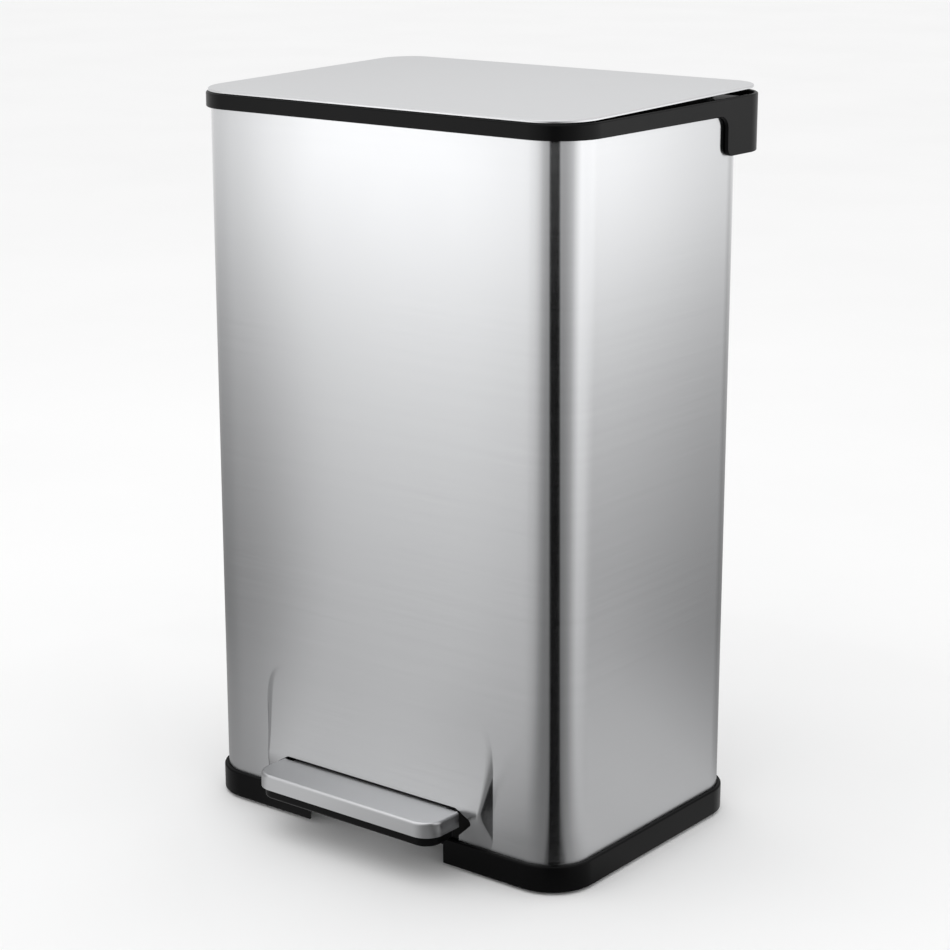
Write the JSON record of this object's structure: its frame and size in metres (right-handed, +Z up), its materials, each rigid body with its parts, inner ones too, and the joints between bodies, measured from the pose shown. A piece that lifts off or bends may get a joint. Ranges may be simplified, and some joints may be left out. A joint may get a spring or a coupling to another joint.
{
  "type": "pedal trash can",
  "caption": "Rectangular pedal trash can: brushed steel shell and lid, black plastic base, collar and hinge housing, pedal linkage with a lift rod and damper, and a lift-out inner bucket.",
  "frame": {"origin": "centre of the bounding box, on the floor", "axes": "+Z up, -Y towards the pedal, +X to the right as seen from the front"},
  "size_m": [0.408, 0.344, 0.6546],
  "materials": {
    "steel": "fine brushed stainless sheet",
    "zinc": "zinc plated steel",
    "plastic": "satin black moulding",
    "bucket_plastic": "satin dark grey moulding",
    "nylon": "natural nylon",
    "rubber": "matte"
  },
  "bodies": {
    "can_body": {"outer_shell": "steel", "base_tray": "plastic", "foot_front_left": "rubber", "foot_front_right": "rubber", "foot_back_left": "rubber", "foot_back_right": "rubber", "top_collar": "plastic", "hinge_cover": "plastic", "cover_screw_1": "zinc", "cover_screw_2": "zinc", "cover_screw_3": "zinc", "cover_screw_4": "zinc", "hinge_pin_left": "zinc", "hinge_pin_right": "zinc", "rod_guide_lower": "nylon", "rod_guide_upper": "nylon", "lever_bracket": "zinc", "bracket_screw_1": "zinc", "bracket_screw_2": "zinc", "bracket_screw_3": "zinc", "bracket_screw_4": "zinc", "pedal_axle": "zinc", "axle_clip_left": "zinc", "axle_clip_right": "zinc", "damper_cylinder": "zinc", "damper_bracket": "nylon"},
    "lid": {"lid_plate": "steel", "lid_frame": "plastic", "lid_crank": "zinc", "crank_screw_1": "zinc", "crank_screw_2": "zinc", "crank_screw_3": "zinc", "crank_screw_4": "zinc", "lid_bumper_1": "rubber", "lid_bumper_2": "rubber", "lid_bumper_3": "rubber", "lid_bumper_4": "rubber", "hinge_bush_left": "nylon", "hinge_bush_right": "nylon"},
    "pedal": {"pedal_plate": "steel", "pedal_core": "plastic", "pedal_lever": "zinc", "pedal_screw_1": "zinc", "pedal_screw_2": "zinc", "pedal_screw_3": "zinc"},
    "lift_rod": {"lift_rod": "zinc", "rod_clip_lower": "zinc", "rod_clip_upper": "zinc"},
    "damper_rod": {"damper_rod": "zinc", "damper_clip": "zinc"},
    "bucket": {"inner_bucket": "bucket_plastic"}
  },
  "joints": [
    {"name": "lid_hinge", "type": "hinge", "parent": "can_body", "child": "lid", "pos_m": [0, 0.1635, 0.64], "axis": [-1, 0, 0], "range_deg": [0, 80]},
    {"name": "pedal_hinge", "type": "hinge", "parent": "can_body", "child": "pedal", "pos_m": [0, -0.048, 0.03], "axis": [1, 0, 0], "range_deg": [0, 12.62]},
    {"name": "lift_rod_slide", "type": "slide", "parent": "can_body", "child": "lift_rod", "axis": [0, 0, 1], "range_m": [0, 0.0401]},
    {"name": "damper_slide", "type": "slide", "parent": "can_body", "child": "damper_rod", "axis": [0, 0, 1], "range_m": [0, 0.03966]},
    {"name": "bucket_lift", "type": "slide", "parent": "can_body", "child": "bucket", "axis": [0, 0, 1], "range_m": [0, 0.008]}
  ],
  "couplings": [
    {"joint": "pedal_hinge", "follows": "lid_hinge", "ratio": 0.15764},
    {"joint": "lift_rod_slide", "follows": "lid_hinge", "m_per_rad": 0.028648},
    {"joint": "damper_slide", "follows": "lid_hinge", "m_per_rad": 0.028331}
  ]
}
